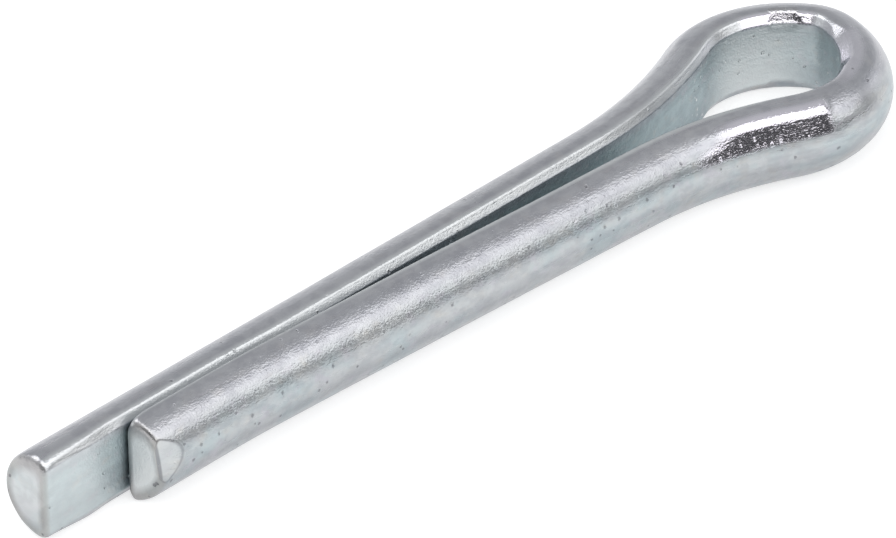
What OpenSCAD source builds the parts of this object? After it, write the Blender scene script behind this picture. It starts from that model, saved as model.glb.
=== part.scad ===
// Cotter pin: one length of half-round wire folded round an eye, with its two legs lying flat to flat.
// It lies on its side: +X runs from the leg ends to the eye, +Y towards the long leg, and the eye is level.

/* [Wire] */
// Diameter of the round shank that the two closed legs make together
shank_d = 3.7; // [3:0.05:4.6]
// Gap between the two flats where the legs lie closed
split_gap = 0.05; // [0.02:0.01:0.2]
// Radius of the rolled edges between the wire's flat and its round
edge_r = 0.48; // [0.25:0.01:0.6]

/* [Legs] */
// Length of the long leg, from its end to its flare
leg_l = 28.8; // [22:0.1:60]
// How far the short leg ends behind the long leg
leg_step = 3.9; // [1:0.1:7]
// Length over which the legs lie closed, from the short leg's end
closed_l = 4; // [2:0.1:8]
// Angle by which the long leg bows open from there to its flare
leg_bow_a = 0.2; // [0.2:0.1:1.5]
// Bend radius where the short leg starts to spring open, at its flat
splay_r = 50; // [20:1:80]
// Angle by which the short leg springs open there
splay_a = 3.2; // [1.5:0.1:4.5]
// Further angle by which the short leg bows open up to its flare
bow_a = 0.6; // [0.2:0.1:2]

/* [Eye] */
// Bend radius of the long leg's flare, at its flat
long_flare_r = 22.5; // [14:0.5:30]
// Angle of the long leg's flare to the shank
long_flare_a = 22; // [16:0.5:28]
// Angle of the short leg's flare to the shank
short_flare_a = 27.5; // [20:0.5:34]
// Bend radius of the eye's two shoulders, at the flat
shoulder_r = 3.7; // [3:0.05:4.6]
// Bend radius of the eye's nose, at the flat
nose_r = 1.05; // [0.6:0.05:2]
// Angle to the shank at which the long leg's shoulder runs into the nose
long_turn_a = 60; // [45:1:75]
// Angle to the shank at which the short leg's shoulder runs into the nose
short_turn_a = 78; // [62:1:85]

/* [Leg ends] */
// Radius of the softened edges at the cut leg ends
end_r = 0.22; // [0.1:0.01:0.35]
// Depth of the bevel on the short leg's round at its end
bevel_d = 0.4; // [0.2:0.05:0.8]
// Length of that bevel along the leg
bevel_l = 0.75; // [0.3:0.05:1.5]

/* [Hidden] */
$fn = 120;

// Half-round section: the round is centred on the shank's axis, and the rolled edges are tangent to it
round_r = shank_d / 2;
flat_y = split_gap / 2;
wire_t = round_r - flat_y;
edge_z = sqrt(pow(round_r - edge_r, 2) - pow(edge_r + flat_y, 2));
edge_a = atan2(edge_z, edge_r + flat_y);
half_w = edge_z + edge_r;
// A length well beyond the section, for cutting tools
past = 2 * shank_d;

// Directions in the plane of the eye, and to their left
function dir(a) = [cos(a), sin(a)];
function left(a) = [-sin(a), cos(a)];
function cross2(u, v) = u.x * v.y - u.y * v.x;

// Long side: closed stretch, bow, flare and shoulder follow each other and set where the nose is
long_end = [0, flat_y];
long_closed_l = leg_step + closed_l;
leg_bow_r = (leg_l - long_closed_l) * 180 / (PI * leg_bow_a);
leg_bow = long_end + long_closed_l * dir(0) + leg_bow_r * left(0);
long_flare = leg_bow + (long_flare_r - leg_bow_r) * left(leg_bow_a);
long_shoulder = long_flare - (long_flare_r + shoulder_r) * left(long_flare_a);
nose_c = long_shoulder + (shoulder_r - nose_r) * left(-long_turn_a);

// Short side, worked out mirrored to +Y: its bow and its flare reach from the splay to the same nose
short_end = [leg_step, flat_y];
splay_c = short_end + closed_l * dir(0) + splay_r * left(0);
splay_end = splay_c - splay_r * left(splay_a);
bow_end_a = splay_a + bow_a;
short_nose = [nose_c.x, -nose_c.y];
short_shoulder = short_nose - (shoulder_r - nose_r) * left(-short_turn_a);
reach = short_shoulder + shoulder_r * left(short_flare_a) - splay_end;
bow_v = left(splay_a) - left(bow_end_a);
flare_v = left(bow_end_a) - left(short_flare_a);
bow_r = cross2(reach, flare_v) / cross2(bow_v, flare_v);
short_flare_r = cross2(bow_v, reach) / cross2(bow_v, flare_v);
bow_c = splay_end + bow_r * left(splay_a);
short_flare = short_shoulder + (shoulder_r + short_flare_r) * left(short_flare_a);

// The origin lies on the ground under the middle of the outline
overall_l = nose_c.x + nose_r + wire_t;
long_reach = long_shoulder.y + shoulder_r + wire_t;
short_reach = short_shoulder.y + shoulder_r + wire_t;
origin = [overall_l / 2, (long_reach - short_reach) / 2, -half_w];

// Places children at p by a coarse and a fine move, which keeps the tangent points exact
module at(p) {
    coarse = [round(p.x * 100) / 100, round(p.y * 100) / 100];
    translate(coarse)
        translate(p - coarse)
            children();
}

// Waste outside the rolled edge at the top of the section
module edge_waste() {
    mid = (180 + edge_a) / 2;
    translate([edge_r, edge_z])
        difference() {
            polygon([[0, 0], past * dir(edge_a), past * (dir(edge_a) + dir(mid)),
                past * (dir(mid) + dir(180)), past * dir(180)]);
            circle(edge_r);
        }
}

// The wire's section: its flat along x = 0, its round towards +x
module wire_section() {
    difference() {
        translate([-flat_y, 0])
            circle(round_r);
        translate([-past, -past])
            square([past, 2 * past]);
        edge_waste();
        mirror([0, 1])
            edge_waste();
    }
}

// Straight stretch of wire along +X from p, its round towards +Y
module straight(p, l) {
    at(p)
        rotate([90, 0, 90])
            linear_extrude(l)
                wire_section();
}

// Bend about c with the round towards the centre, turning the wire up from angle a0 to a1
module bend_out(c, r, a0, a1) {
    at(c)
        rotate_extrude(angle = a1 - a0, start = a0 - 90)
            at([r, 0])
                mirror([1, 0])
                    wire_section();
}

// Bend about c with the flat towards the centre, turning the wire down from angle a0 to a1
module bend_in(c, r, a0, a1) {
    at(c)
        rotate_extrude(angle = a0 - a1, start = a1 + 90)
            at([r, 0])
                wire_section();
}

// Waste round a leg's end at p: outside the softened edges of its round and of its flat
module end_waste(p) {
    at([p.x, 0])
        rotate([0, 90, 0])
            rotate_extrude()
                difference() {
                    translate([round_r - end_r, -past])
                        square([past, past + end_r]);
                    translate([round_r - end_r, end_r])
                        circle(end_r);
                }
    at(p)
        linear_extrude(2 * past, center = true)
            difference() {
                translate([-past, -past])
                    square([past + end_r, past + end_r]);
                translate([end_r, end_r])
                    circle(end_r);
            }
}

// Waste outside the bevel on the short leg's round
module bevel_waste() {
    slope = bevel_d / bevel_l;
    at([leg_step, round_r])
        linear_extrude(2 * past, center = true)
            polygon([[-past, -bevel_d - past * slope], [bevel_l + past, past * slope], [-past, past]]);
}

module long_side() {
    difference() {
        straight(long_end, long_closed_l);
        end_waste(long_end);
    }
    bend_out(leg_bow, leg_bow_r, 0, leg_bow_a);
    bend_out(long_flare, long_flare_r, leg_bow_a, long_flare_a);
    bend_in(long_shoulder, shoulder_r, long_flare_a, -long_turn_a);
}

module short_side() {
    difference() {
        straight(short_end, closed_l);
        end_waste(short_end);
        bevel_waste();
    }
    bend_out(splay_c, splay_r, 0, splay_a);
    bend_out(bow_c, bow_r, splay_a, bow_end_a);
    bend_out(short_flare, short_flare_r, bow_end_a, short_flare_a);
    bend_in(short_shoulder, shoulder_r, short_flare_a, -short_turn_a);
}

module nose() {
    bend_in(nose_c, nose_r, -long_turn_a, short_turn_a - 180);
}

module cotter_pin() {
    color("silver")
        translate(-origin) {
            long_side();
            mirror([0, 1, 0])
                short_side();
            nose();
        }
}

cotter_pin();
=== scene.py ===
"""Cotter pin in bright zinc plate: half-round wire bent round an eye, lying on a pale studio floor."""

import math
import random

import bpy
import numpy as np
from bpy.props import FloatProperty, FloatVectorProperty, IntProperty, PointerProperty
from mathutils import Matrix, Vector, noise


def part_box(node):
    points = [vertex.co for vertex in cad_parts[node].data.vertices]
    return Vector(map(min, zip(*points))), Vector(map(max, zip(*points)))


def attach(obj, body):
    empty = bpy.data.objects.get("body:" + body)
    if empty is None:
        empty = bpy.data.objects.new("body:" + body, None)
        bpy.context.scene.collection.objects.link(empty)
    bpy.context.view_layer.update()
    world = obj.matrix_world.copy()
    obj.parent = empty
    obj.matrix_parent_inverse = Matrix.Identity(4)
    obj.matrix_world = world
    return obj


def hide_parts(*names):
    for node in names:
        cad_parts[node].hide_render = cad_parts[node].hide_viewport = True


bl_info = {
    "name": "Cotter pin",
    "version": (1, 0, 0),
    "blender": (4, 5, 0),
    "location": "3D View > Sidebar > Cotter pin",
    "description": "Bends a zinc-plated cotter pin from half-round wire and sets it on a studio floor",
    "category": "Object",
}

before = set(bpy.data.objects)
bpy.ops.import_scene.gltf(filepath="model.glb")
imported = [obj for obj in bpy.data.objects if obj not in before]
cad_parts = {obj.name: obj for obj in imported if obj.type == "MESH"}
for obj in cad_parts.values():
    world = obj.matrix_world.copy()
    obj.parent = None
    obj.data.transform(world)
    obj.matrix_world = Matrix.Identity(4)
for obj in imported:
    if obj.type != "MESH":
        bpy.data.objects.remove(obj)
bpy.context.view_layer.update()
NODE = "cotter_pin"
MM = 0.001

# Attributes of the pin's mesh that its finish reads
UNBENT = "unbent"
BURNISH = "burnish"
TIP = "tip"

# Places along the wire where its finish changes, from the long leg's end
TIP_FLAT = (2.0 * MM, 4.5 * MM)
EYE_STARTS, EYE_ENDS = (33.0 * MM, 36.0 * MM), (44.0 * MM, 47.0 * MM)
WALL_STARTS, WALL_ENDS = (36.5 * MM, 39.8 * MM), (40.5 * MM, 44.0 * MM)
RIM_SCUFF = 41.6 * MM
NOSE = 46.5 * MM
SHORT_ARM = (50.0 * MM, 54.0 * MM)

# Soft lights: name, place, aim, width, height and radiance
SOFTBOXES = (
    ("long_softbox", (0.1, -0.493, 0.342), (0.1, 0.0, 0.0), 1.1, 0.42, 1.55),
    ("left_softbox", (-0.252, 0.33, 0.432), (0.0, 0.0, 0.0), 0.38, 0.36, 2.2),
    ("front_softbox", (-0.36, -0.18, 0.45), (0.0, 0.0, 0.0), 0.4, 0.4, 1.6),
    ("right_softbox", (0.66, -0.15, 0.17), (0.0, 0.0, 0.0), 0.26, 0.2, 0.7),
)


def length(name, description, mm):
    """A length property, with its default in millimetres."""
    return FloatProperty(name=name, description=description, default=mm * MM, unit="LENGTH", precision=6)


def angle(name, description, degrees):
    """An angle property, with its default in degrees."""
    return FloatProperty(name=name, description=description, default=math.radians(degrees), subtype="ANGLE")


def share(name, description, default):
    """A number from 0 to 1."""
    return FloatProperty(name=name, description=description, default=default, min=0.0, max=1.0,
                         subtype="FACTOR")


def colour(name, description, default):
    """A linear colour."""
    return FloatVectorProperty(name=name, description=description, default=default, size=3, min=0.0, max=1.0,
                               subtype="COLOR")


class PinWire(bpy.types.PropertyGroup):
    """Sizes of the half-round wire, its legs and its cut ends"""

    shank_d: length("Shank diameter", "Diameter of the round shank that the closed legs make", 3.7)
    split_gap: length("Split gap", "Gap between the flats where the legs lie closed", 0.05)
    edge_r: length("Edge radius", "Radius of the rolled edges between the flat and the round", 0.48)
    leg_l: length("Long leg", "Length of the long leg, from its end to its flare", 28.8)
    leg_step: length("Leg step", "How far the short leg ends behind the long one", 3.9)
    closed_l: length("Closed length", "Length over which the legs lie closed, from the short leg's end", 4.0)
    leg_bow: angle("Long leg's bow", "Angle by which the long leg bows open up to its flare", 0.2)
    splay_r: length("Splay radius", "Bend radius where the short leg springs open", 50.0)
    splay: angle("Splay", "Angle by which the short leg springs open", 3.2)
    bow: angle("Short leg's bow", "Further angle by which the short leg bows open up to its flare", 0.6)
    end_r: length("End radius", "Radius of the softened edges at the cut ends", 0.22)
    edge_flat: length("Edge flat", "Depth of the flat rolled on the inner edges", 0.035)
    edge_tilt: angle("Edge tilt", "How far that flat leans from level", 60.0)
    split_off: length("Split offset", "How far the split lies off the middle, towards the short leg", 0.2)
    leg_swell: length("Leg swell", "How much thicker the long leg grows past its closed stretch", 0.08)
    end_roll: length("End roll", "How far the top edge is rolled down at the long leg's cut end", 0.3)
    bevel_d: length("Bevel depth", "Depth of the bevel on the short leg's round at its end", 0.4)
    bevel_l: length("Bevel length", "Length of that bevel along the leg", 1.1)
    bevel_turn: angle("Bevel turn", "How far the bevel faces up from level", 3.5)
    bevel_lean: share("Bevel lean", "How much longer the bevel runs near the top than at mid-height", 1.0)
    shear: angle("Shear", "How far the short leg's cut face leans back towards its round", 14.0)


class PinEye(bpy.types.PropertyGroup):
    """Bends of the eye"""

    long_flare_r: length("Long flare radius", "Bend radius of the long leg's flare, at its flat", 22.5)
    long_flare: angle("Long flare", "Angle of the long leg's flare to the shank", 22.0)
    short_flare: angle("Short flare", "Angle of the short leg's flare to the shank", 27.5)
    shoulder_r: length("Shoulder radius", "Bend radius of the two shoulders, at the flat", 3.7)
    nose_r: length("Nose radius", "Bend radius of the nose, at the flat", 1.05)
    long_turn: angle("Long turn", "Angle at which the long leg's shoulder runs into the nose", 60.0)
    short_turn: angle("Short turn", "Angle at which the short leg's shoulder runs into the nose", 78.0)
    press_start: length("Press start", "Where the die's mark on the short arm starts, before its flare", 0.9)
    press_end: length("Press end", "Where that mark ends, past the start of the arm's flare", 5.6)
    press_r: length("Press radius", "Radius of the corner that the die leaves on the arm's round", 0.8)
    rim_mark: length("Rim mark", "Length of the flat that the die leaves on the long arm's rim", 1.2)


class PinFinish(bpy.types.PropertyGroup):
    """Zinc plate and the marks that drawing and bending leave in it"""

    zinc: colour("Zinc", "Colour of the bright zinc plate", (0.51, 0.527, 0.537))
    # Also painted as a teal shade on the sheltered flats between the legs
    passivate_and_teal_shade: colour("Passivate", "Blue-green tint of the thin passivate film", (0.395, 0.5, 0.525))
    fresh: colour("Burnished zinc", "Colour where forming has burnished the film away", (0.77, 0.745, 0.81))
    # This light colour also paints the glints on the eye's wall
    sheared: colour("Sheared zinc", "Colour of the cut faces and of rubbed edges", (0.72, 0.745, 0.745))
    # Round the cut ends this darker colour is partly wear and partly painted shade, for the dark that their
    # rounded edges reflect
    worn_and_shaded: colour("Worn edge", "Colour of the worn edges round the cut ends", (0.33, 0.315, 0.295))
    warm: colour("Warm film", "Faint straw tint where the film is thicker", (0.54, 0.525, 0.495))
    violet: colour("Violet film", "Faint violet tint where the film is thinner", (0.53, 0.52, 0.56))
    # This dark colour also paints the shade in the creases round the bevel
    pit: colour("Pits", "Colour at the bottom of small pits and creases", (0.13, 0.13, 0.145))
    satin: share("Satin roughness", "Roughness of the drawn plate", 0.29)
    polish: share("Burnished roughness", "Roughness where forming has burnished the eye", 0.1)
    ripple: length("Ripple", "Height of the slow waves that bending leaves", 0.006)
    seed: IntProperty(name="Seed", description="Sets where the small dents fall", default=7)


class PinStage(bpy.types.PropertyGroup):
    """Floor, soft lights and camera"""

    floor: colour("Floor", "Colour of the plain floor", (0.56, 0.56, 0.56))
    glow: share("Floor glow", "Light that the floor gives off, as a light table does", 0.62)
    floor_size: length("Floor size", "Side of the square floor", 1600.0)
    azimuth: angle("Camera azimuth", "Direction of the view, from +X towards +Y", 42.659)
    elevation: angle("Camera elevation", "How steeply the camera looks down", 32.402)
    roll: angle("Camera roll", "Turn of the camera about its view", -0.207)
    distance: length("Camera distance", "From the camera to the point that it aims at", 213.74)
    aim: FloatVectorProperty(name="Aim", description="Point at the middle of the picture", size=3,
                             default=(-0.000537, 0.001276, 0.001082), subtype="TRANSLATION")
    focal: FloatProperty(name="Focal length", description="Focal length on a 36 mm sensor", default=232.5)


# Bending the wire

def ahead(heading):
    """Direction of a heading in the plane of the eye."""
    return np.array((math.cos(heading), math.sin(heading)))


def left_of(heading):
    """Direction to the left of a heading."""
    return np.array((-math.sin(heading), math.cos(heading)))


def bend(radius, start, end):
    """A bend from one heading to another, as (length along the flat, turn to the left)."""
    return radius * abs(end - start), end - start


def walk(point, heading, stretches):
    """Where the flat ends up after these stretches."""
    for run, turn in stretches:
        point, heading = along_stretch(point, heading, run, turn, run)
    return point, heading


def along_stretch(point, heading, run, turn, distance):
    """Point and heading at a distance along a straight or round stretch."""
    if turn == 0.0:
        return point + distance * ahead(heading), heading
    radius = run / turn
    now = heading + turn * distance / run
    return point + radius * (left_of(heading) - left_of(now)), now


def wire_stretches(wire, eye):
    """The wire's stretches from the long leg's end to the short leg's, with its round to the left."""
    flat_y = wire.split_gap / 2
    closed = wire.leg_step + wire.closed_l
    half_turn = math.pi
    nose_end = eye.short_turn - half_turn
    flare_start = -eye.short_flare - half_turn
    bow_start = -wire.splay - wire.bow - half_turn
    splay_start = -wire.splay - half_turn
    first = [
        (closed, 0.0),
        (wire.leg_l - closed, wire.leg_bow),
        bend(eye.long_flare_r, wire.leg_bow, eye.long_flare),
        bend(eye.shoulder_r, eye.long_flare, -eye.long_turn),
        bend(eye.nose_r, -eye.long_turn, nose_end),
        bend(eye.shoulder_r, nose_end, flare_start),
    ]
    last = [bend(wire.splay_r, splay_start, -half_turn), (wire.closed_l, 0.0)]
    # The short leg's flare and bow take the radii that bring its end beside the long leg
    here, _ = walk(np.array((0.0, flat_y)), 0.0, first)
    rest, _ = walk(np.zeros(2), splay_start, last)
    reach = np.array((wire.leg_step, -flat_y)) - here - rest
    flare_v = left_of(flare_start) - left_of(bow_start)
    bow_v = left_of(bow_start) - left_of(splay_start)
    flare_r, bow_r = np.linalg.solve(np.column_stack((flare_v, bow_v)), reach)
    return first + [bend(flare_r, flare_start, bow_start), bend(bow_r, bow_start, splay_start)] + last


def stations(wire, total):
    """Distances along the wire that get a ring of points: close at the softened ends and at the bevel."""
    ring_step, bevel_step = 0.12 * MM, 0.04 * MM
    end_rings, bevel_reach = 9, 1.7
    quarter = np.linspace(0.0, math.pi / 2, end_rings)
    softened = wire.end_r * (1.0 - np.sin(quarter[::-1]))
    bevel_start = total - bevel_reach * wire.bevel_l
    bevel_end = total - wire.end_r
    inner = np.arange(wire.end_r, bevel_start, ring_step)
    bevel = np.linspace(bevel_start, bevel_end, int((bevel_end - bevel_start) / bevel_step))
    return np.concatenate((softened[:-1], inner, bevel, total - softened[::-1][1:]))


def rings_on(stretches, start, distances):
    """Point on the flat and heading at each distance along the wire."""
    points = np.zeros((len(distances), 2))
    headings = np.zeros(len(distances))
    point, heading, done, at = start, 0.0, 0.0, 0
    for run, turn in stretches:
        last_one = (run, turn) is stretches[-1]
        while at < len(distances) and (last_one or distances[at] <= done + run):
            points[at], headings[at] = along_stretch(point, heading, run, turn, distances[at] - done)
            at += 1
        point, heading = along_stretch(point, heading, run, turn, run)
        done += run
    return points, headings


def wire_section(wire):
    """Outline of the half-round section, as points (outward, up) and their outward normals."""
    round_r = wire.shank_d / 2
    flat_y = wire.split_gap / 2
    edge_z = math.sqrt((round_r - wire.edge_r) ** 2 - (wire.edge_r + flat_y) ** 2)
    edge_a = math.atan2(edge_z, wire.edge_r + flat_y)
    flat_parts, edge_parts, round_parts = 12, 18, 68
    points, normals = [], []

    def arc(centre, radius, start, end, parts):
        for k in range(parts):
            a = start + (end - start) * k / parts
            normals.append((math.cos(a), math.sin(a)))
            points.append((centre[0] + radius * math.cos(a), centre[1] + radius * math.sin(a)))

    arc((-flat_y, 0.0), round_r, -edge_a, edge_a, round_parts)
    arc((wire.edge_r, edge_z), wire.edge_r, edge_a, math.pi, edge_parts)
    for k in range(flat_parts):
        normals.append((-1.0, 0.0))
        points.append((0.0, edge_z - 2 * edge_z * k / flat_parts))
    arc((wire.edge_r, -edge_z), wire.edge_r, math.pi, 2 * math.pi - edge_a, edge_parts)
    return np.array(points), np.array(normals)


def quarter_round(depth, radius):
    """How far an edge of this radius has drawn in at a depth behind the end face."""
    inside = np.clip(radius - depth, 0.0, radius)
    return radius - np.sqrt(radius ** 2 - inside ** 2)


def over_bevel(wire, depth, behind, u, v):
    """How far section points stand outside the bevel, by depth behind the cut face and the leg's end."""
    crease_r, lean_limit = 0.05 * MM, 0.8
    round_r = wire.shank_d / 2
    reach = (u + wire.split_gap / 2) * math.cos(wire.bevel_turn) + v * math.sin(wire.bevel_turn)
    run = wire.bevel_l * (1.0 + wire.bevel_lean * np.clip(v / round_r, -lean_limit, lean_limit))
    return reach - (round_r - wire.bevel_d * (1.0 - behind / run) - quarter_round(depth, crease_r))


def past_zero(value, blend):
    """The part of a value above zero, with a soft start."""
    start = (value + blend) ** 2 / (4 * blend)
    return np.where(value > blend, value, np.where(value < -blend, 0.0, start))


def ease(value):
    """A smooth step from 0 to 1."""
    t = np.clip(value, 0.0, 1.0)
    return t * t * (3.0 - 2.0 * t)


def above(value, limit, fade):
    """Mask that is 0 up to a limit and rises to 1 past it."""
    return ease((value - limit) / fade)


def below(value, limit, fade):
    """Mask that falls from 1 to 0 up to a limit."""
    return ease((limit - value) / fade)


def near(along, middle, half, fade):
    """Mask of what lies within half a length of a place along the wire."""
    return below(np.abs(along - middle), half, fade)


def trimmed(u, v, slope, limit):
    """Section points with what stands past a plane cut away."""
    blend = 0.006 * MM
    cut = past_zero(u * math.cos(slope) + v * math.sin(slope) - limit, blend)
    return u - cut * math.cos(slope), v - cut * math.sin(slope)


def edge_trimmed(wire, u, v, tilt, depth):
    """Section points with a flat of this depth on both rolled edges."""
    round_r = wire.shank_d / 2
    edge_z = math.sqrt((round_r - wire.edge_r) ** 2 - (wire.edge_r + wire.split_gap / 2) ** 2)
    slope = math.pi / 2 + tilt
    limit = wire.edge_r * math.cos(slope) + edge_z * math.sin(slope) + wire.edge_r - depth
    u, v = trimmed(u, v, slope, limit)
    return trimmed(u, v, -slope, limit)


def pressed(wire, eye, u, v, amount):
    """Section points of the short arm, where a die has squared the round's upper side to a corner."""
    low, high = math.radians(22.0), math.radians(84.0)
    top_blend = 0.012 * MM
    round_r = wire.shank_d / 2
    half = (high - low) / 2
    x = u + wire.split_gap / 2
    off = np.abs(np.arctan2(v, x) - (low + high) / 2)
    centre = (round_r - eye.press_r) / math.cos(half)
    touch = math.atan2(eye.press_r * math.sin(half), centre + eye.press_r * math.cos(half))
    arc = centre * np.cos(off) + np.sqrt(np.clip(eye.press_r ** 2 - (centre * np.sin(off)) ** 2, 0.0, None))
    straight = round_r / np.cos(np.clip(half - off, 0.0, half))
    rise = amount * (np.where(off < touch, arc, straight) / round_r - 1.0)
    # The corner stays under the section's top
    risen = v + rise * v
    risen = risen - past_zero(risen - v.max() + top_blend, top_blend)
    return u + rise * x, np.where(rise > 0.0, risen, v)


def split_shift(wire, along, runs):
    """How far each ring's flat stands towards the short leg, as a shift outward on its own leg."""
    grow_run = 4.0 * MM
    tip_back, tip_run = 0.4 * MM, 1.5 * MM
    nose_back, nose_run = 1.5 * MM, 3.0 * MM
    thin_start, thin_run, thin_part = 5.0 * MM, 11.0 * MM, 0.6
    flare_run = 6.0 * MM
    past_closed = above(along, runs[0], grow_run)
    on_tip = below(along, wire.leg_step - tip_back, tip_run)
    swell = wire.split_off + wire.leg_swell * np.maximum(past_closed, on_tip)
    long_leg = swell * below(along, runs[5] - nose_back, nose_run)
    thinned = 1.0 - thin_part * below(along, runs[-1] - thin_start, thin_run)
    return wire.split_off * thinned * above(along, runs[6], flare_run) - long_leg


def rolled_in(wire, along, total, u, v):
    """How far the edges are rolled in at the cut ends: the top one most, and most at the flat."""
    reach, edge_v = 0.8 * MM, 1.2 * MM
    short_gain, short_width = 1.6, 1.1 * MM
    long_part, long_width = 0.7, 1.2 * MM
    low_part, low_run = 0.4, 2.4 * MM
    inside = np.clip(1.0 - np.minimum(along, total - along) / reach, 0.0, 1.0)
    roll = wire.end_roll * (1.0 - np.sqrt(1.0 - inside ** 2))
    on_short = short_gain * (1.0 - ease(u / short_width))
    on_long = 1.0 - long_part * ease(u / long_width)
    roll = roll * np.where(along > total / 2, on_short, on_long)
    lift = low_part * wire.end_roll * below(along, low_run, low_run)
    return roll * ease(v / edge_v) - lift * ease(-v / edge_v)


def leaned_back(wire, depth, u):
    """How far the short leg's cut face leans back at points of a section."""
    flat_part, blend, reach = 0.3 * MM, 0.2 * MM, 1.6 * MM
    lean = math.tan(wire.shear) * past_zero(u - flat_part, blend)
    return lean * np.clip(1.0 - depth / reach, 0.0, 1.0)


def die_marked(wire, eye, u, v, along, runs):
    """Section points with the die's marks: on the long arm's rim, on the nose's rim and on the short arm."""
    rim_back, rim_soft, rim_fade = 1.05 * MM, 0.15 * MM, 0.3 * MM
    rim_tilt, rim_depth = math.radians(67.0), 0.11 * MM
    nose_past, nose_half, nose_fade = 2.1 * MM, 1.9 * MM, 1.2 * MM
    nose_tilt, nose_depth = math.radians(42.0), 0.12 * MM
    arm_back, arm_start_fade, arm_end_fade = 0.2 * MM, 0.5 * MM, 3.0 * MM
    rim = near(along, runs[3] - rim_back, 0.5 * eye.rim_mark + rim_soft, rim_fade)
    u, v = edge_trimmed(wire, u, v, rim_tilt, rim_depth * rim)
    nose = near(along, runs[4] + nose_past, nose_half, nose_fade)
    u, v = edge_trimmed(wire, u, v, nose_tilt, nose_depth * nose)
    past_start = above(along, runs[5] - eye.press_start - arm_back, arm_start_fade)
    before_end = below(along, runs[5] + eye.press_end, arm_end_fade)
    return pressed(wire, eye, u, v, past_start * before_end)


def formed(wire, eye, outline, normals, distances, stretches):
    """Section points of each ring with all marks, and how far they are shifted, lean and pass the bevel."""
    runs = np.cumsum([run for run, _ in stretches])
    total = runs[-1]
    draw = quarter_round(distances, wire.end_r) + quarter_round(total - distances, wire.end_r)
    u = outline[None, :, 0] - draw[:, None] * normals[None, :, 0]
    v = outline[None, :, 1] - draw[:, None] * normals[None, :, 1]
    along = distances[:, None]

    # Flats rolled on the inner edges, which run out towards the long leg's end
    flat_start, flat_run = 0.3 * MM, 2.5 * MM
    flat_depth = wire.edge_flat * above(along, flat_start, flat_run)
    u, v = edge_trimmed(wire, u, v, wire.edge_tilt, flat_depth)
    u, v = die_marked(wire, eye, u, v, along, runs)

    # The flats lie a little off the middle, and the edges are rolled in at the cut ends
    on_long = along < runs[5]
    shift_start = np.where(on_long, 0.3 * MM, 0.05 * MM)
    shift_run = np.where(on_long, 0.8 * MM, 0.6 * MM)
    shift = split_shift(wire, along, runs) * (1.0 - above(u, shift_start, shift_run))
    v = v - rolled_in(wire, along, total, u, v)
    u = u + shift

    # The short leg's cut face and its bevel
    bevel_blend = 0.02 * MM
    depth = total - along
    back = leaned_back(wire, depth, u)
    over = np.where(depth < 2 * wire.bevel_l, over_bevel(wire, depth, depth + back, u, v), -MM)
    cut = past_zero(over, bevel_blend)
    return u - cut * math.cos(wire.bevel_turn), v - cut * math.sin(wire.bevel_turn), shift, back, over


def dents(wire, finish, total):
    """Small nicks from handling: (distance along, outward, up, radius, depth), on the round and its edges."""
    draws = random.Random(finish.seed)
    round_r = wire.shank_d / 2
    count, widest = 60, 1.3
    radii_mm, depths_mm = (0.1, 0.24), (0.004, 0.012)
    found = []
    for _ in range(count):
        a = draws.uniform(-widest, widest)
        found.append((draws.uniform(0.0, total), round_r * math.cos(a), round_r * math.sin(a),
                      draws.uniform(*radii_mm) * MM, draws.uniform(*depths_mm) * MM))
    # The nick behind the short leg's bevel
    found.append((total - 1.45 * MM, 1.82 * MM, 0.1 * MM, 0.17 * MM, 0.045 * MM))
    # The die's soft marks below the nose: mm from the short leg's end, degrees up, radius and depth in mm
    soft_marks = ((34.7, 12.0, 0.42, 0.03), (33.6, -6.0, 0.28, 0.03), (34.6, 50.0, 0.5, 0.016))
    for from_end, up, radius, deep in soft_marks:
        a = math.radians(up)
        found.append((total - from_end * MM, round_r * math.cos(a), round_r * math.sin(a), radius * MM,
                      deep * MM))
    return found


def relief(finish, unbent):
    """Height of the slow waves at each point of the unbent wire, which only cut inward."""
    wave = np.array((2.6, 1.1, 1.1)) * MM
    waves = np.array([noise.noise(Vector(point)) for point in unbent / wave])
    return finish.ripple * (waves - 1.0)


def burnished(wire, eye, stretches, unbent):
    """Mask of what the die has burnished: the short arm's round, the long arm's rim and the nose's rim."""
    runs = np.cumsum([run for run, _ in stretches])
    along, outward, up = unbent.T
    angle_up = np.degrees(np.arctan2(up, outward + wire.split_gap / 2))

    # On the arm the upper side of the mark ends first
    upper_back, upper_from, upper_run = 1.3 * MM, 30.0, 15.0
    start_fade, end_fade = 0.15 * MM, 1.5 * MM
    low, low_fade, high, high_fade = 16.0, 6.0, 62.0, 8.0
    end = runs[5] + eye.press_end - upper_back * above(angle_up, upper_from, upper_run)
    arm = above(along, runs[5] - eye.press_start, start_fade) * below(along, end, end_fade)
    arm = arm * above(angle_up, low, low_fade) * below(angle_up, high, high_fade)

    # The rims are marked only on the rolled edge
    rim_back, rim_half, rim_fade = 1.35 * MM, 1.75 * MM, 0.4 * MM
    rim_edge = below(outward, 0.36 * MM, 0.12 * MM) * above(up, 1.25 * MM, 0.1 * MM)
    rim = rim_edge * near(along, runs[3] - rim_back, rim_half, rim_fade)
    nose_past, nose_half, nose_fade, nose_part = 2.9 * MM, 2.4 * MM, 1.2 * MM, 0.5
    nose_edge = below(outward, 0.85 * MM, 0.25 * MM) * above(up, 1.2 * MM, 0.2 * MM)
    nose = nose_part * nose_edge * near(along, runs[4] + nose_past, nose_half, nose_fade)
    return np.maximum(arm, np.maximum(rim, nose))


def ring_faces(rings, around):
    """Faces between rings of points, and fans that close both ends at the two points after them."""
    faces = []
    for k in range(rings - 1):
        a, b = k * around, (k + 1) * around
        for j in range(around):
            n = (j + 1) % around
            faces.append((a + j, a + n, b + n, b + j))
    start = (rings - 1) * around
    first_pole = rings * around
    for j in range(around):
        n = (j + 1) % around
        faces.append((n, j, first_pole))
        faces.append((start + j, start + n, first_pole + 1))
    return faces


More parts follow.
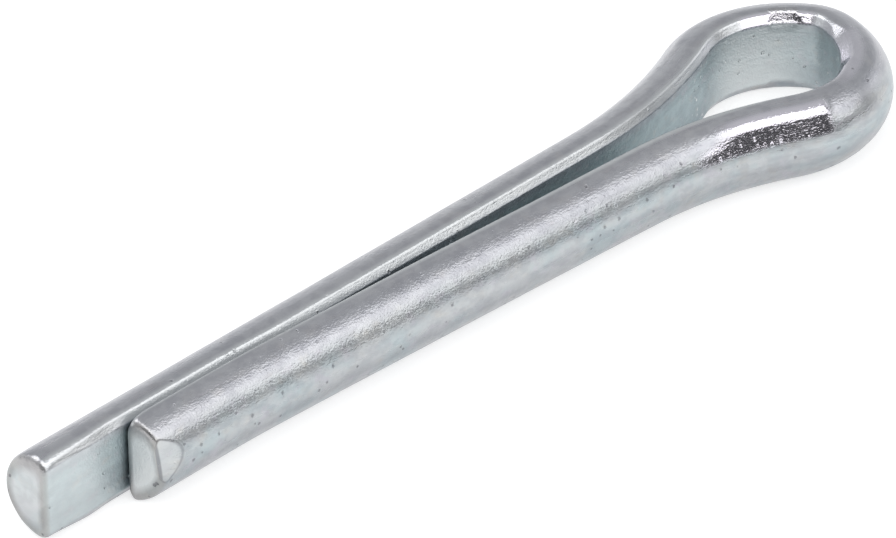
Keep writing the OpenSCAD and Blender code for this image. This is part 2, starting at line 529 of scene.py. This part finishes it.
def pin_mesh(wire, eye, finish):
    """The swept wire as one closed mesh, in the CAD frame."""
    stretches = wire_stretches(wire, eye)
    total = sum(run for run, _ in stretches)
    distances = stations(wire, total)
    flat_points, headings = rings_on(stretches, np.array((0.0, wire.split_gap / 2)), distances)
    outline, normals = wire_section(wire)
    around = len(outline)
    u, v, shift, back, over = formed(wire, eye, outline, normals, distances, stretches)

    # Waves and nicks, faded out at the cut ends
    nick_fall = 2.0
    along = distances[:, None] - back
    unbent = np.stack((along, u, v), axis=2).reshape(-1, 3)
    height = relief(finish, unbent)
    for s0, u0, v0, radius, deep in dents(wire, finish, total):
        off = np.sum((unbent - np.array((s0, u0, v0))) ** 2, axis=1) / radius ** 2
        height -= deep * np.exp(-nick_fall * off)
    fade = np.clip(np.minimum(along, total - along) / (2 * wire.end_r), 0.0, 1.0)
    height = height.reshape(u.shape) * fade
    u = u + height * normals[None, :, 0]
    v = v + height * normals[None, :, 1]

    # The cut ends go on as rings that shrink to a middle point
    shrink = np.array((0.02, 0.15, 0.32, 0.5, 0.68, 0.85, 0.97))
    middle_part, face_rim = 0.45, 0.3
    last = len(distances) - 1
    rings = np.concatenate((np.zeros(len(shrink), int), np.arange(last + 1), np.full(len(shrink), last)))
    size = np.concatenate((shrink, np.ones(last + 1), shrink[::-1]))[:, None]
    middle = middle_part * (u.max(axis=1) + u.min(axis=1))[rings][:, None]
    u = middle + size * (u[rings] - middle)
    v = size * v[rings]
    on_cap = size < 1.0
    on_face = below(size, 1.0, face_rim)
    at_short_end = (rings == last)[:, None]
    back = np.where(on_cap & at_short_end, leaned_back(wire, 0.0, u), back[rings])
    cap_over = np.where(at_short_end, over_bevel(wire, 0.0, back, u, v), -MM)
    over = np.where(on_cap, cap_over, over[rings])

    # Rings set square to the wire's path
    way = np.stack((np.cos(headings), np.sin(headings)), axis=1)[rings][:, None]
    base = flat_points[rings][:, None]
    x = base[..., 0] - u * way[..., 1] - back * way[..., 0]
    y = base[..., 1] + u * way[..., 0] - back * way[..., 1]
    verts = np.stack((x, y, v), axis=2).reshape(-1, 3)
    coords = np.stack((distances[rings][:, None] - back, u - shift[rings], v), axis=2).reshape(-1, 3)
    depth = (total - distances)[rings][:, None]
    tip = np.stack(np.broadcast_arrays(over, depth, on_face), axis=2).reshape(-1, 3)
    closed = []
    for values in (verts, coords, tip):
        closed.append(np.vstack((values, values[:around].mean(axis=0), values[-around:].mean(axis=0))))
    verts, coords, tip = closed

    # The frame's box gives the place: the eye at its +X end, the pin flat on its bottom
    low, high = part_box(NODE)
    verts += (np.array(low) + np.array(high)) / 2 - (verts.min(axis=0) + verts.max(axis=0)) / 2

    mesh = bpy.data.meshes.new("pin")
    mesh.from_pydata(verts.tolist(), [], ring_faces(len(rings), around))
    mesh.attributes.new(UNBENT, "FLOAT_VECTOR", "POINT").data.foreach_set("vector", coords.ravel())
    mesh.attributes.new(TIP, "FLOAT_VECTOR", "POINT").data.foreach_set("vector", tip.ravel())
    mask = burnished(wire, eye, stretches, coords)
    mesh.attributes.new(BURNISH, "FLOAT", "POINT").data.foreach_set("value", mask)
    mesh.polygons.foreach_set("use_smooth", [True] * len(mesh.polygons))
    mesh.update()
    mesh.validate()
    return mesh


# Finish

class Shader:
    """Short calls to place and link shader nodes."""

    def __init__(self, tree):
        self.tree = tree
        tree.nodes.clear()

    def node(self, kind, settings=None, **inputs):
        made = self.tree.nodes.new(kind)
        for key, value in (settings or {}).items():
            setattr(made, key, value)
        for key, value in inputs.items():
            self.put(made.inputs[key.replace("_", " ")], value)
        return made

    def put(self, socket, value):
        if isinstance(value, bpy.types.NodeSocket):
            self.tree.links.new(value, socket)
        else:
            socket.default_value = value

    def attribute(self, name, output):
        return self.node("ShaderNodeAttribute", {"attribute_name": name}).outputs[output]

    def parts(self, vector):
        return self.node("ShaderNodeSeparateXYZ", Vector=vector).outputs

    def maths(self, operation, *values):
        made = self.tree.nodes.new("ShaderNodeMath")
        made.operation = operation
        for socket, value in zip(made.inputs, values):
            self.put(socket, value)
        return made.outputs[0]

    def times(self, first, *others):
        for value in others:
            first = self.maths("MULTIPLY", first, value)
        return first

    def most(self, first, *others):
        for value in others:
            first = self.maths("MAXIMUM", first, value)
        return first

    def plus(self, a, b):
        return self.maths("ADD", a, b)

    def less(self, a, b):
        return self.maths("SUBTRACT", a, b)

    def vectors(self, operation, *values):
        made = self.tree.nodes.new("ShaderNodeVectorMath")
        made.operation = operation
        for socket, value in zip(made.inputs, values):
            self.put(socket, value)
        return made

    def ramp(self, value, low, high, to_low=0.0, to_high=1.0):
        made = self.tree.nodes.new("ShaderNodeMapRange")
        made.interpolation_type = "SMOOTHSTEP"
        for key, v in (("Value", value), ("From Min", low), ("From Max", high), ("To Min", to_low),
                       ("To Max", to_high)):
            self.put(made.inputs[key], v)
        return made.outputs[0]

    def mix(self, factor, a, b, blend="MIX"):
        # Of the node's sockets, these are the ones for colours
        made = self.tree.nodes.new("ShaderNodeMix")
        made.data_type = "RGBA"
        made.blend_type = blend
        self.put(made.inputs[0], factor)
        self.put(made.inputs[6], a)
        self.put(made.inputs[7], b)
        return made.outputs[2]

    def noise(self, vector, per_mm, detail=2.0, roughness=0.5, output="Fac"):
        """Noise with this many features to a millimetre along, outward and up."""
        scaled = self.vectors("MULTIPLY", vector, tuple(count / MM for count in per_mm)).outputs[0]
        made = self.node("ShaderNodeTexNoise", Vector=scaled, Scale=1.0, Detail=detail, Roughness=roughness)
        return made.outputs[output]


def solid(colour_property, alpha=1.0):
    """A colour property's value for a colour socket."""
    return (*colour_property, alpha)


class PlateMasks:
    """Noises that the plate's layers share, and masks of where it is sheltered, pitted, rubbed, darkened by
    wear and painted shade, or given painted glints.
    """

    most_rubbed = 0.58

    def __init__(self, s):
        self.burnish = s.attribute(BURNISH, "Fac")
        self.over, self.depth, self.cut = s.parts(s.attribute(TIP, "Vector"))
        self.unbent = s.attribute(UNBENT, "Vector")
        self.along, self.outward, self.up = s.parts(self.unbent)

        # Lines along the wire at two widths, crystals of the plate, and slow clouds of the film
        self.lines = s.noise(self.unbent, (0.3, 9.0, 9.0), 2.0, 0.6)
        self.bands = s.noise(self.unbent, (0.08, 2.2, 2.2), 2.0, 0.5)
        self.crystals = s.noise(self.unbent, (12.0, 14.0, 14.0), 1.0, 0.6)
        self.grain = s.noise(self.unbent, (5.0, 7.0, 7.0), 1.0, 0.5)
        self.clouds = s.noise(self.unbent, (0.5, 0.8, 0.8), 3.0, 0.55)
        self.mottle = s.noise(self.unbent, (1.6, 2.4, 2.4), 4.0, 0.6)
        self.straw = s.noise(self.unbent, (1.1, 1.6, 1.6), 3.0, 0.6)

        # The flat between its rolled edges is sheltered, and the cut faces and the bevel are bright
        self.sheltered = s.times(s.ramp(self.outward, 0.02 * MM, 0.2 * MM, 1.0, 0.0),
                                 s.ramp(s.maths("ABSOLUTE", self.up), 1.25 * MM, 1.45 * MM, 1.0, 0.0))
        self.bright = s.most(self.cut, s.ramp(self.over, 0.01 * MM, 0.05 * MM))
        self.add_pits(s)
        self.add_edges(s)

    def add_pits(self, s):
        """One pit in some of the cells, each ragged with a faint rim, and painted glints: light specks on the
        eye's wall that stand in for its sparkle.
        """
        ragged = s.noise(self.unbent, (9.0, 9.0, 9.0), 1.0, 0.5, "Color")
        ragged = s.vectors("SUBTRACT", ragged, (0.5, 0.5, 0.5)).outputs[0]
        ragged = s.vectors("MULTIPLY", ragged, (0.09 * MM,) * 3).outputs[0]
        places = s.vectors("ADD", self.unbent, ragged).outputs[0]
        places = s.vectors("MULTIPLY", places, (2.7 / MM,) * 3).outputs[0]
        cells = s.node("ShaderNodeTexVoronoi", {"feature": "F1"}, Scale=1.0, Randomness=1.0, Vector=places)
        pick, other = s.node("ShaderNodeSeparateColor", Color=cells.outputs["Color"]).outputs[:2]
        distance = cells.outputs["Distance"]
        # Pits are thicker in some clouds, fewer on top and missing on the cut faces
        pick = s.plus(pick, s.ramp(self.clouds, 0.35, 0.65, -0.2, 0.25))
        pick = s.less(pick, s.plus(s.ramp(self.up, 0.7 * MM, 1.3 * MM, 0.0, 0.3), self.bright))
        inside = s.less(distance, s.ramp(pick, 0.2, 0.95, -0.06, 0.19))
        self.pits = s.ramp(inside, -0.07, 0.04, 1.0, 0.0)
        self.rims = s.less(s.ramp(inside, 0.03, 0.14, 1.0, 0.0), self.pits)
        in_eye = s.times(s.ramp(self.along, *EYE_STARTS), s.ramp(self.along, *EYE_ENDS, 1.0, 0.0))
        # Painted glints: light specks on the eye's sheltered wall, standing in for the sparkle of its small
        # dents
        painted_glints = s.times(s.ramp(distance, 0.08, 0.26, 1.0, 0.0), s.ramp(other, 0.6, 0.85))
        self.painted_glints = s.times(painted_glints, self.sheltered, in_eye)

    def add_edges(self, s):
        """Painted shade in the creases round the bevel and where it meets the short leg's cut face, edges
        round the cut faces darkened by wear and painted shade, rubbed upper edges and the scuffed rim.
        """
        # Painted shade: dark lines round the bevel's edge and where the bevel meets the short leg's cut face,
        # where these creases fall into shade
        painted_crease_shade = s.ramp(s.maths("ABSOLUTE", self.over), 0.006 * MM, 0.03 * MM, 0.35, 0.0)
        painted_end_line_shade = s.ramp(self.depth, 0.02 * MM, 0.07 * MM, 0.6, 0.0)
        self.painted_crease_shade = s.most(painted_crease_shade, s.times(painted_end_line_shade, s.ramp(self.over, 0.0, 0.04 * MM)))

        # Darker rounded edges round the cut faces: partly wear, partly painted shade standing in for the dark
        # these edges reflect
        worn_and_shaded = s.ramp(s.maths("MINIMUM", self.along, self.depth), 0.04 * MM, 0.22 * MM, 0.5, 0.0)
        self.worn_and_shaded = s.times(worn_and_shaded, s.less(1.0, self.bright))

        # The short arm is rubbed further over its edge, and the nose hardly at all
        inward = s.less(self.outward, s.ramp(self.along, *SHORT_ARM, 0.0, 0.2 * MM))
        rubbed = s.times(s.ramp(inward, 0.22 * MM, 0.4 * MM, self.most_rubbed, 0.0),
                         s.ramp(self.up, 1.3 * MM, 1.42 * MM))
        off_nose = s.maths("ABSOLUTE", s.less(self.along, NOSE))
        self.rubbed = s.times(rubbed, s.ramp(off_nose, 2.5 * MM, 4.0 * MM, 0.2, 1.0))

        off_scuff = s.maths("ABSOLUTE", s.less(self.along, RIM_SCUFF))
        on_rim = s.times(s.ramp(self.up, 1.2 * MM, 1.35 * MM),
                         s.ramp(self.outward, 0.4 * MM, 0.6 * MM, 1.0, 0.0))
        self.scuff = s.times(s.ramp(off_scuff, 0.45 * MM, 0.7 * MM, 1.0, 0.0), on_rim)


def film_colour(s, m, finish):
    """Colour of the plate: bluest on the sheltered flats, partly the film's tint and partly painted teal
    shade between the legs, and the film gone where it is burnished.
    """
    blue = s.times(s.ramp(m.clouds, 0.4, 0.7, 0.0, 0.5), s.ramp(m.up, 0.5 * MM, 1.1 * MM, 1.0, 0.15))
    # On the sheltered flats the bluer, darker film is partly painted shade, standing in for the teal that
    # light takes bouncing between the legs
    film = s.mix(s.most(blue, s.times(m.sheltered, 0.8)), solid(finish.zinc), solid(finish.passivate_and_teal_shade))
    film = s.mix(s.ramp(m.straw, 0.52, 0.75, 0.0, 0.5), film, solid(finish.warm))
    violet = s.most(s.ramp(m.straw, 0.3, 0.46, 0.6, 0.0), s.ramp(m.up, 0.9 * MM, 1.3 * MM, 0.0, 0.5))
    film = s.mix(violet, film, solid(finish.violet))

    # Streaks along the wire, soft spots, and painted shade low on the round, standing in for the darker floor
    # that the lower side reflects
    streak, spot, shade = (0.84, 0.84, 0.86, 1.0), (0.82, 0.82, 0.84, 1.0), (0.7, 0.7, 0.72, 1.0)
    film = s.mix(s.ramp(m.bands, 0.35, 0.65, 0.0, 0.6), film, streak, "MULTIPLY")
    film = s.mix(s.ramp(m.mottle, 0.4, 0.62, 0.0, 0.7), film, spot, "MULTIPLY")
    film = s.mix(s.ramp(m.up, -0.8 * MM, 0.1 * MM, 0.75, 0.0), film, shade, "MULTIPLY")

    # Bare zinc: the eye's wall, the long leg's free flat, rubbed edges and cut faces, and the painted glints
    # on the eye's wall in the same light colour
    wall = s.times(s.ramp(m.along, *WALL_STARTS), s.ramp(m.along, *WALL_ENDS, 0.75, 0.15))
    open_flat = s.most(wall, s.ramp(m.along, *TIP_FLAT, 0.45, 0.0))
    bare_and_glints = s.most(m.rubbed, m.painted_glints, s.times(open_flat, m.sheltered))
    faces = s.times(m.cut, s.ramp(m.along, 1.0 * MM, 2.0 * MM, 0.42, 0.8))
    faces = s.most(faces, s.times(m.bright, 0.28))
    film = s.mix(s.most(bare_and_glints, faces), film, solid(finish.sheared))
    film = s.mix(m.burnish, film, solid(finish.fresh))

    # Worn and scuffed edges, partly painted shade round the cut ends, darkened pits, and painted shade in the
    # creases
    film = s.mix(s.most(m.worn_and_shaded, s.times(m.scuff, 0.3)), film, solid(finish.worn_and_shaded))
    # Pits darkened in the plate's colour, less so on the sheltered flats
    pit_darkening = s.times(m.pits, s.less(0.52, s.times(m.sheltered, 0.42)))
    return s.mix(s.most(pit_darkening, m.painted_crease_shade), film, solid(finish.pit))


def plate_roughness(s, m, finish):
    """Roughness of the plate: rougher in pits, on flats and on cut faces, smooth where it is burnished."""
    line_part, pit_part, flat_part = 0.1, 0.15, 0.14
    rough = s.plus(finish.satin - line_part / 2, s.times(m.lines, line_part))
    rough = s.plus(rough, s.times(m.pits, pit_part))
    rough = s.plus(rough, s.times(s.most(m.cut, m.sheltered), flat_part))
    return s.times(rough, s.less(1.0, s.times(m.burnish, 1.0 - finish.polish / finish.satin)))


def plate_relief(s, m):
    """Relief finer than the mesh, with heights in millimetres."""
    height = s.times(m.crystals, 0.012)
    height = s.plus(height, s.times(m.grain, s.ramp(m.sheltered, 0.0, 1.0, 0.006, 0.014)))
    height = s.times(height, s.ramp(m.rubbed, 0.0, m.most_rubbed, 1.0, 0.55))
    height = s.times(height, s.ramp(m.burnish, 0.0, 1.0, 1.0, 0.6))
    height = s.times(height, s.ramp(m.scuff, 0.0, 1.0, 1.0, 5.0))
    height = s.plus(height, s.times(m.lines, 0.004))
    height = s.less(height, s.times(m.pits, s.ramp(m.sheltered, 0.0, 1.0, 0.014, 0.045)))
    height = s.plus(height, s.times(m.rims, 0.005))
    return s.node("ShaderNodeBump", Strength=1.0, Distance=MM, Height=height).outputs[0]


def zinc_plate(finish):
    """Bright zinc on drawn wire, with a thin tinted film and the marks of drawing, cutting and bending."""
    material = bpy.data.materials.new("zinc_plate")
    material.use_nodes = True
    s = Shader(material.node_tree)
    m = PlateMasks(s)
    shader = s.node("ShaderNodeBsdfPrincipled", Base_Color=film_colour(s, m, finish), Metallic=1.0,
                    Roughness=plate_roughness(s, m, finish), Normal=plate_relief(s, m))
    s.node("ShaderNodeOutputMaterial", Surface=shader.outputs[0])
    return material


def floor_paper(stage):
    """Plain pale paper under the pin."""
    material = bpy.data.materials.new("floor_paper")
    material.use_nodes = True
    s = Shader(material.node_tree)
    shader = s.node("ShaderNodeBsdfPrincipled", Base_Color=solid(stage.floor), Roughness=0.9,
                    Emission_Color=(1.0, 1.0, 1.0, 1.0), Emission_Strength=stage.glow)
    s.node("ShaderNodeOutputMaterial", Surface=shader.outputs[0])
    return material


# Stage

def softbox(name, place, aim, width, height, radiance):
    """A rectangular soft light of even brightness that faces the aim."""
    light = bpy.data.lights.new(name, "AREA")
    light.shape = "RECTANGLE"
    light.size = width
    light.size_y = height
    light.energy = radiance * math.pi * width * height
    made = bpy.data.objects.new(name, light)
    made.location = place
    made.rotation_euler = (Vector(aim) - Vector(place)).to_track_quat("-Z", "Y").to_euler()
    bpy.context.scene.collection.objects.link(made)


def studio_world(stage):
    """Room round the floor: grey beyond the pin and overhead, pale low on the left, dark elsewhere."""
    dark, grey, pale = 0.08, 0.6, 0.75
    low_left = (-0.79, 0.57, 0.22)
    world = bpy.data.worlds.new("studio")
    world.use_nodes = True
    s = Shader(world.node_tree)
    way = s.node("ShaderNodeTexCoord").outputs["Generated"]
    up = s.parts(way)[2]
    beyond = (math.cos(stage.azimuth), math.sin(stage.azimuth), 0.0)
    back = s.ramp(s.vectors("DOT_PRODUCT", way, beyond).outputs["Value"], 0.05, 0.45)
    level = s.ramp(s.most(back, s.ramp(up, 0.4, 0.75)), 0.0, 1.0, dark, grey)
    level = s.plus(level, s.times(back, s.ramp(up, 0.05, 0.4, 0.2, 0.0)))
    left = s.ramp(s.vectors("DOT_PRODUCT", way, low_left).outputs["Value"], 0.72, 0.92, 0.0, pale)
    tint = (0.98, 1.0, 1.02, 1.0)
    room = s.node("ShaderNodeBackground", Color=tint, Strength=s.most(level, left))
    s.node("ShaderNodeOutputWorld", Surface=room.outputs[0])
    bpy.context.scene.world = world


def camera_for(stage):
    """The camera at the photograph's viewing angle."""
    data = bpy.data.cameras.new("camera")
    data.lens = stage.focal
    data.clip_start = 0.01
    data.clip_end = 10.0
    made = bpy.data.objects.new("camera", data)
    bpy.context.scene.collection.objects.link(made)
    flat = math.cos(stage.elevation)
    view = Vector((math.cos(stage.azimuth) * flat, math.sin(stage.azimuth) * flat,
                   -math.sin(stage.elevation)))
    made.location = Vector(stage.aim) - stage.distance * view
    turn = view.to_track_quat("-Z", "Y").to_matrix() @ Matrix.Rotation(stage.roll, 3, "Z")
    made.rotation_euler = turn.to_euler()
    bpy.context.scene.camera = made


# Operators

class PIN_OT_bend_wire(bpy.types.Operator):
    """Bend the pin from half-round wire and plate it"""

    bl_idname = "cotter_pin.bend_wire"
    bl_label = "Bend the pin"

    def execute(self, context):
        scene = context.scene
        mesh = pin_mesh(scene.pin_wire, scene.pin_eye, scene.pin_finish)
        if len(mesh.polygons) == 0:
            raise RuntimeError("the wire has no faces")
        pin = bpy.data.objects.new("split_pin", mesh)
        scene.collection.objects.link(pin)
        mesh.materials.append(zinc_plate(scene.pin_finish))
        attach(pin, "root")
        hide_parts(NODE)
        return {"FINISHED"}


class PIN_OT_set_stage(bpy.types.Operator):
    """Lay the floor and set the lights, the room and the camera"""

    bl_idname = "cotter_pin.set_stage"
    bl_label = "Set the stage"

    def execute(self, context):
        scene = context.scene
        stage = scene.pin_stage
        half = stage.floor_size / 2
        corners = [(-half, -half, 0.0), (half, -half, 0.0), (half, half, 0.0), (-half, half, 0.0)]
        mesh = bpy.data.meshes.new("floor")
        mesh.from_pydata(corners, [], [(0, 1, 2, 3)])
        mesh.materials.append(floor_paper(stage))
        floor = bpy.data.objects.new("floor", mesh)
        scene.collection.objects.link(floor)
        for light in SOFTBOXES:
            softbox(*light)
        studio_world(stage)
        camera_for(stage)
        scene.view_settings.view_transform = "Standard"
        return {"FINISHED"}


class PIN_PT_panel(bpy.types.Panel):
    """Sizes, finish and stage of the cotter pin"""

    bl_idname = "PIN_PT_panel"
    bl_label = "Cotter pin"
    bl_space_type = "VIEW_3D"
    bl_region_type = "UI"
    bl_category = "Cotter pin"

    def draw(self, context):
        for name, group in GROUPS.items():
            box = self.layout.box()
            values = getattr(context.scene, name)
            for key in group.__annotations__:
                box.prop(values, key)
        for operator in OPERATORS:
            self.layout.operator(operator.bl_idname)


GROUPS = {"pin_wire": PinWire, "pin_eye": PinEye, "pin_finish": PinFinish, "pin_stage": PinStage}
OPERATORS = (PIN_OT_bend_wire, PIN_OT_set_stage)


def register():
    for group in GROUPS.values():
        bpy.utils.register_class(group)
    for made in (*OPERATORS, PIN_PT_panel):
        bpy.utils.register_class(made)
    for name, group in GROUPS.items():
        setattr(bpy.types.Scene, name, PointerProperty(type=group))


def unregister():
    for name in GROUPS:
        delattr(bpy.types.Scene, name)
    for made in (PIN_PT_panel, *OPERATORS, *GROUPS.values()):
        bpy.utils.unregister_class(made)


def main():
    register()
    bpy.ops.cotter_pin.bend_wire()
    bpy.ops.cotter_pin.set_stage()


if __name__ == "__main__":
    main()
